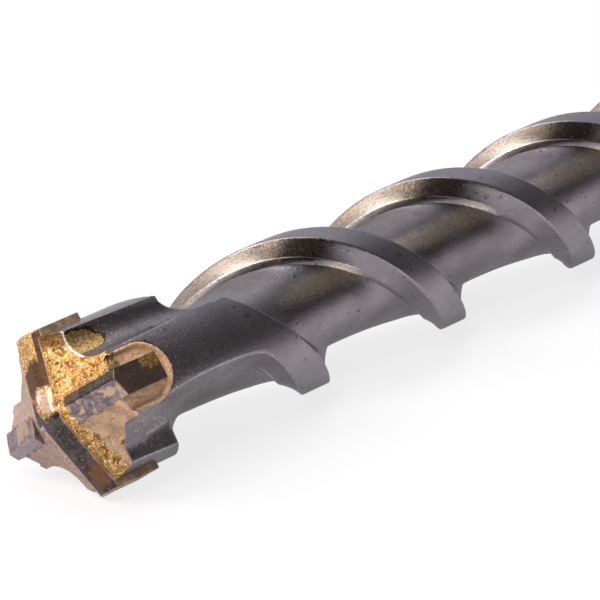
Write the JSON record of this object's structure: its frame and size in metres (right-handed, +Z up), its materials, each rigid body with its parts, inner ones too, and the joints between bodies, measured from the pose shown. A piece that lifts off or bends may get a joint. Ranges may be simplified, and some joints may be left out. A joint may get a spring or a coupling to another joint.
{
  "type": "masonry drill bit",
  "caption": "Rotary hammer masonry drill bit: carbide plates crossed in a solid steel head, helical flutes with wide lands, and a slotted hammer shank.",
  "frame": {"origin": "centre of the bounding box's base, the floor the bit lies on, half way along its length", "axes": "+X along the drill's axis from the point towards the shank's end, +Z up, the bit lying on its lands"},
  "size_m": [0.32, 0.0228, 0.0229],
  "materials": {
    "steel": "dark heat-treated steel, bead blasted, faintly bronze at the head",
    "carbide_main": "dark grey sintered carbide, ground facets, braze smeared on its upper half",
    "carbide_near": "dark grey sintered carbide, ground facets",
    "carbide_far": "dark grey sintered carbide, ground facets",
    "braze": "golden brazing alloy, grainy and sparkling above, matt brown below"
  },
  "bodies": {
    "root": {"bit_body": "steel", "main_plate": "carbide_main", "side_plate_near": "carbide_near", "side_plate_far": "carbide_far", "braze_fill": "braze"}
  },
  "joints": []
}
